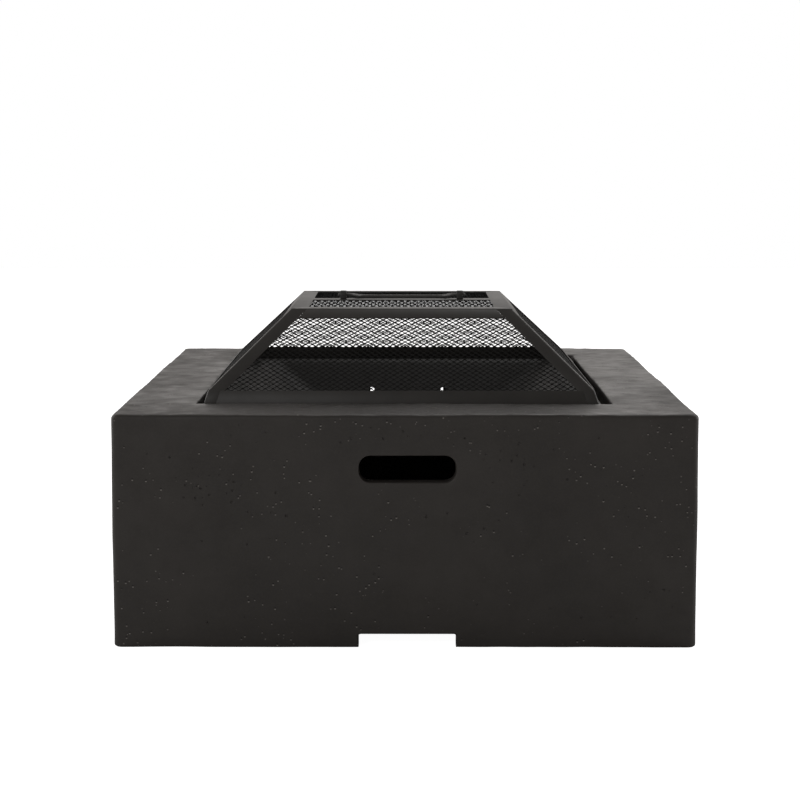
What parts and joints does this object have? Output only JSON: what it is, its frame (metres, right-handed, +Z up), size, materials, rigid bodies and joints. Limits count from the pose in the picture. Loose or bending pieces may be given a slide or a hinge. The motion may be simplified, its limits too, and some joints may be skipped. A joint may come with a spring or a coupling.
{
  "type": "fire pit",
  "caption": "Square cast fire pit with a hanging steel bowl, a log grate inside, and a pyramid mesh lid with a folding bail handle.",
  "frame": {"origin": "centre of the base, on the floor", "axes": "+Z up; -Y is the front, the side with the hand slot that faces the viewer; +X is to the right as seen from the front"},
  "size_m": [0.664, 0.664, 0.381],
  "materials": {
    "cast_shell": "matte",
    "bowl_steel": "matte",
    "grate_steel": "matte",
    "lid_steel": "satin",
    "lid_mesh": "satin",
    "handle_steel": "satin"
  },
  "bodies": {
    "body": {"body_shell": "cast_shell"},
    "bowl": {"fire_bowl": "bowl_steel"},
    "log_grate": {"grate_frame": "grate_steel", "grate_bar_1": "grate_steel", "grate_bar_2": "grate_steel", "grate_bar_3": "grate_steel", "grate_bar_4": "grate_steel", "grate_bar_5": "grate_steel"},
    "lid": {"lid_rail_front": "lid_steel", "lid_corner_front_right": "lid_steel", "lid_top_strip_front": "lid_steel", "lid_mesh_front": "lid_mesh", "lid_rail_right": "lid_steel", "lid_corner_right_back": "lid_steel", "lid_top_strip_right": "lid_steel", "lid_mesh_right": "lid_mesh", "lid_rail_back": "lid_steel", "lid_corner_back_left": "lid_steel", "lid_top_strip_back": "lid_steel", "lid_mesh_back": "lid_mesh", "lid_rail_left": "lid_steel", "lid_corner_left_front": "lid_steel", "lid_top_strip_left": "lid_steel", "lid_mesh_left": "lid_mesh", "lid_mesh_top": "lid_mesh", "lid_centre_strip": "lid_steel", "handle_lug_left": "lid_steel", "handle_lug_right": "lid_steel"},
    "handle": {"bail_handle": "handle_steel"}
  },
  "joints": [
    {"name": "bowl_lift", "type": "slide", "parent": "body", "child": "bowl", "axis": [0, 0, 1], "range_m": [0, 0.2]},
    {"name": "grate_lift", "type": "slide", "parent": "bowl", "child": "log_grate", "axis": [0, 0, 1], "range_m": [0, 0.1]},
    {"name": "lid_lift", "type": "slide", "parent": "bowl", "child": "lid", "axis": [0, 0, 1], "range_m": [0, 0.3]},
    {"name": "handle_swing", "type": "hinge", "parent": "lid", "child": "handle", "pos_m": [-0.004, 0, 0.3755], "axis": [1, 0, 0], "range_deg": [0, 199]}
  ]
}
